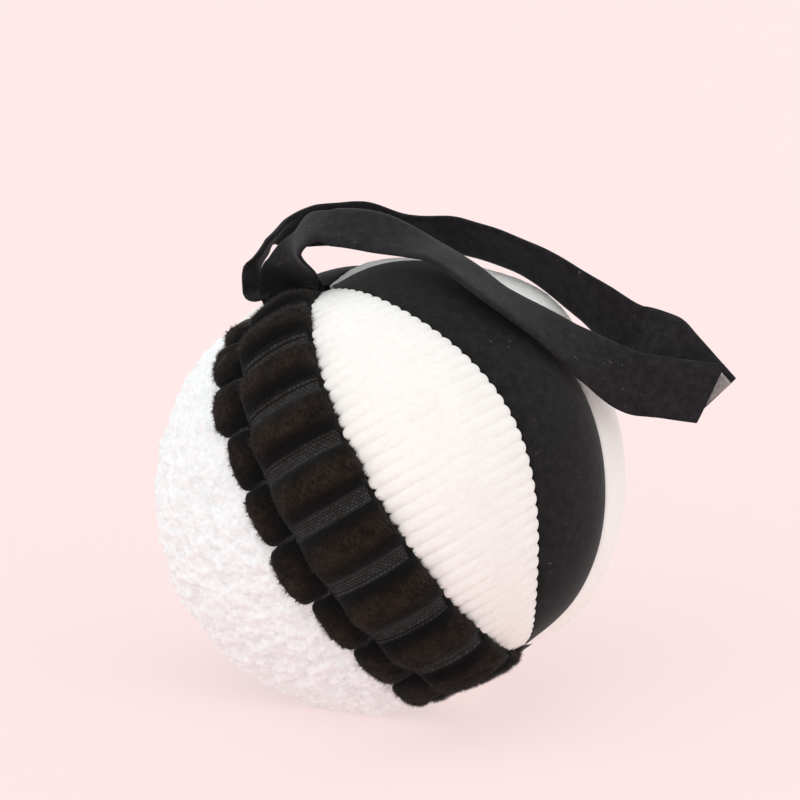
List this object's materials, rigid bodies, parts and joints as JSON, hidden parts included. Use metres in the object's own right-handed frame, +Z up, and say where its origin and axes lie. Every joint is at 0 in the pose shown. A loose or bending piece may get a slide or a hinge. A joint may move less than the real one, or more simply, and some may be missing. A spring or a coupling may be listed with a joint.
{
  "type": "soft contrast ball",
  "caption": "Soft stuffed baby ball of black and white fabric panels with ridged plush, corduroy and terry textures, and a black hook-and-loop strap for hanging it up",
  "frame": {"origin": "on the flat where the ball rests, straight below the ball's centre", "axes": "+Z up, the pictured front faces -Y, +X to the right of the picture"},
  "size_m": [0.1441, 0.1205, 0.1303],
  "materials": {
    "plush_black": "ridged pile plush with bare woven channels",
    "corduroy_white": "wide-wale corduroy plush",
    "cotton_black": "plain woven cotton, matt",
    "velour_white": "smooth short-pile velour",
    "terry_white": "looped terry plush, fluffy",
    "filling": "polyester fibre filling",
    "strap_cotton": "folded and sewn cotton band, matt",
    "tape_grey": "hook-and-loop tape"
  },
  "bodies": {
    "ball": {"panel_black_ridged_plush": "plush_black", "panel_white_corduroy": "corduroy_white", "panel_black_cotton": "cotton_black", "panel_white_velour": "velour_white", "panel_black_cotton_side": "cotton_black", "panel_white_corduroy_rear": "corduroy_white", "panel_black_cotton_base": "cotton_black", "panel_white_terry": "terry_white", "filling_core": "filling", "strap_sewn_end": "strap_cotton", "strap_stub_front": "strap_cotton", "strap_stub_rear": "strap_cotton"},
    "strap_front": {"strap_front": "strap_cotton", "hook_tape": "tape_grey"},
    "strap_rear": {"strap_rear": "strap_cotton", "loop_tape": "tape_grey"}
  },
  "joints": [
    {"name": "strap_lift", "type": "hinge", "parent": "ball", "child": "strap_front", "pos_m": [-0.02826, -0.00294, 0.11092], "axis": [-0.7143, -0.4852, -0.5042], "range_deg": [0, 40]},
    {"name": "strap_open", "type": "hinge", "parent": "strap_front", "child": "strap_rear", "pos_m": [-0.03336, -0.00728, 0.10743], "axis": [-0.2001, -0.7502, 0.6302], "range_deg": [0, 25]}
  ]
}
